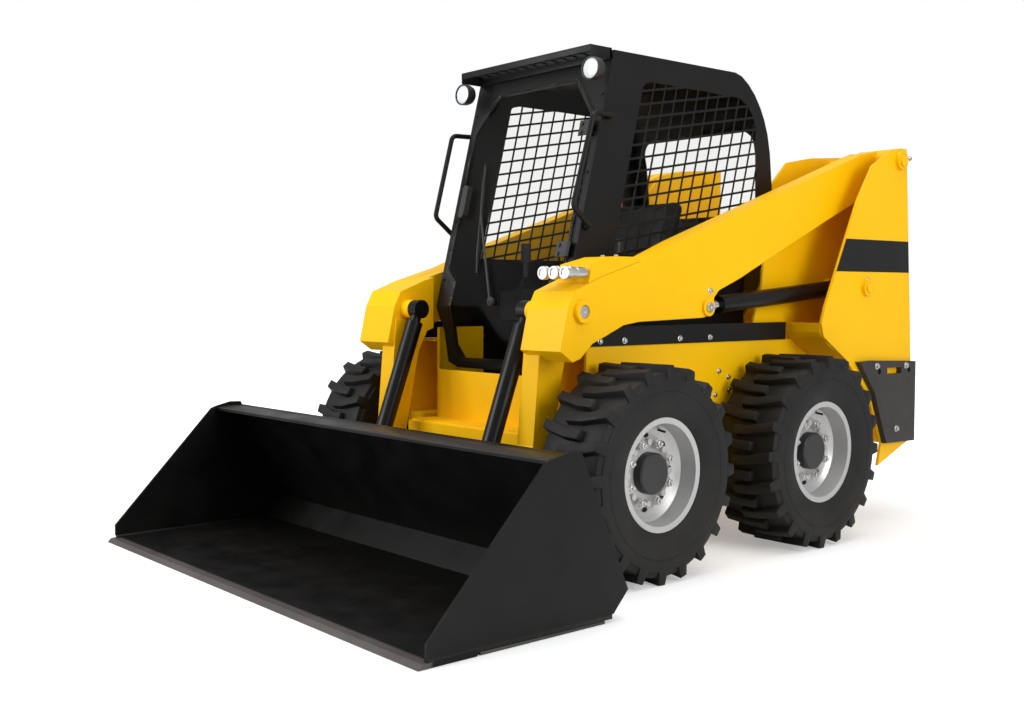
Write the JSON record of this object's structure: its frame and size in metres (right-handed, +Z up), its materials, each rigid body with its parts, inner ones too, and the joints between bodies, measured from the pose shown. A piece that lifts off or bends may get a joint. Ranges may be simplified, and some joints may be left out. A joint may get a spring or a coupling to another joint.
{
  "type": "skid steer loader",
  "caption": "Radial-lift skid steer loader with lugged tyres, caged cab, twin lift arms and a low-profile dirt bucket on a quick-attach carrier.",
  "frame": {"origin": "on the ground under the middle of the machine's bounding box", "axes": "+X to the machine's left side, -Y to its front and bucket, +Z up"},
  "size_m": [2.2, 3.452, 2.1373],
  "materials": {
    "bare_steel": "bright zinc",
    "black_gloss": "gloss black paint",
    "black_paint": "satin powder coat",
    "black_plastic": "moulded grain",
    "cab_glass": "clear tinted",
    "chrome_rod": "hard chrome",
    "engine_iron": "painted casting",
    "grey_paint": "satin dark grey",
    "lamp_lens": "clear moulded",
    "rim_silver": "silver satin paint",
    "seat_vinyl": "padded vinyl",
    "tyre_black": "matt moulded rubber",
    "worn_edge": "dark rolled steel",
    "yellow_paint": "gloss enamel"
  },
  "bodies": {
    "chassis": {"cab_floor": "yellow_paint", "cab_front": "black_paint", "cab_roof": "black_paint", "cab_sides": "black_paint", "controls": "black_plastic", "engine_block": "engine_iron", "front_apron": "yellow_paint", "grab_handles": "black_paint", "lamps": "lamp_lens", "main_frame": "yellow_paint", "rear_frame": "grey_paint", "rear_window": "cab_glass", "seat": "seat_vinyl", "seat_base": "black_plastic", "side_screens": "black_paint", "side_steps": "black_paint", "side_weights": "grey_paint", "towers": "yellow_paint", "visor": "black_paint"},
    "lift_arms": {"arm_cross_tubes": "yellow_paint", "coupler_cover": "yellow_paint", "couplers": "bare_steel", "lift_arms": "yellow_paint"},
    "bucket": {"bucket_carrier": "black_paint", "bucket_cheeks": "black_paint", "bucket_shell": "black_paint", "cutting_edge": "worn_edge"},
    "lift_barrels": {"lift_barrels": "black_gloss"},
    "lift_rods": {"lift_rods": "chrome_rod"},
    "tilt_barrels": {"tilt_barrels": "black_gloss"},
    "tilt_rods": {"tilt_rods": "chrome_rod"},
    "door": {"cab_door": "cab_glass", "door_fittings": "black_plastic"},
    "rear_door": {"rear_door": "yellow_paint"},
    "hood": {"engine_hood": "yellow_paint"},
    "wheel_front_left": {"rim_front_left": "rim_silver", "tyre_front_left": "tyre_black"},
    "wheel_front_right": {"rim_front_right": "rim_silver", "tyre_front_right": "tyre_black"},
    "wheel_rear_left": {"rim_rear_left": "rim_silver", "tyre_rear_left": "tyre_black"},
    "wheel_rear_right": {"rim_rear_right": "rim_silver", "tyre_rear_right": "tyre_black"}
  },
  "joints": [
    {"name": "wheel_front_left_spin", "type": "hinge", "parent": "chassis", "child": "wheel_front_left", "pos_m": [0.741, -0.3277, 0.4234], "axis": [1, 0, 0], "continuous": true},
    {"name": "wheel_front_right_spin", "type": "hinge", "parent": "chassis", "child": "wheel_front_right", "pos_m": [-0.741, -0.3277, 0.4234], "axis": [1, 0, 0], "continuous": true},
    {"name": "wheel_rear_left_spin", "type": "hinge", "parent": "chassis", "child": "wheel_rear_left", "pos_m": [0.741, 0.7557, 0.4234], "axis": [1, 0, 0], "continuous": true},
    {"name": "wheel_rear_right_spin", "type": "hinge", "parent": "chassis", "child": "wheel_rear_right", "pos_m": [-0.741, 0.7557, 0.4234], "axis": [1, 0, 0], "continuous": true},
    {"name": "arm_lift", "type": "hinge", "parent": "chassis", "child": "lift_arms", "pos_m": [0, 1.559, 1.755], "axis": [-1, 0, 0], "range_deg": [0, 64]},
    {"name": "bucket_tilt", "type": "hinge", "parent": "lift_arms", "child": "bucket", "pos_m": [0, -0.691, 0.19], "axis": [1, 0, 0], "range_deg": [-26, 92]},
    {"name": "lift_barrel_swing", "type": "hinge", "parent": "chassis", "child": "lift_barrels", "pos_m": [0, 1.288, 1.145], "axis": [-1, 0, 0], "range_deg": [0, 64]},
    {"name": "lift_rod_slide", "type": "slide", "parent": "lift_barrels", "child": "lift_rods", "axis": [0, -0.9966, -0.082], "range_m": [0, 0.712]},
    {"name": "tilt_barrel_swing", "type": "hinge", "parent": "lift_arms", "child": "tilt_barrels", "pos_m": [0, -0.543, 1.046], "axis": [1, 0, 0], "range_deg": [-6, 3]},
    {"name": "tilt_rod_slide", "type": "slide", "parent": "tilt_barrels", "child": "tilt_rods", "axis": [0, -0.3497, -0.9369], "range_m": [-0.098, 0.334]},
    {"name": "door_swing", "type": "hinge", "parent": "chassis", "child": "door", "pos_m": [0.378, -0.28669, 1.536], "axis": [0, 0.2489, 0.9685], "range_deg": [0, 60]},
    {"name": "rear_door_swing", "type": "hinge", "parent": "chassis", "child": "rear_door", "pos_m": [0.4735, 1.718, 0.7], "axis": [0, 0, -1], "range_deg": [0, 95]},
    {"name": "hood_tilt", "type": "hinge", "parent": "chassis", "child": "hood", "pos_m": [0, 1.06, 1.262], "axis": [1, 0, 0], "range_deg": [0, 50]}
  ],
  "couplings": [
    {"joint": "lift_barrel_swing", "follows": "arm_lift", "ratio": 0.9791},
    {"joint": "lift_rod_slide", "follows": "arm_lift", "m_per_rad": 0.6327},
    {"joint": "tilt_barrel_swing", "follows": "bucket_tilt", "ratio": -0.047},
    {"joint": "tilt_rod_slide", "follows": "bucket_tilt", "m_per_rad": 0.2046}
  ]
}
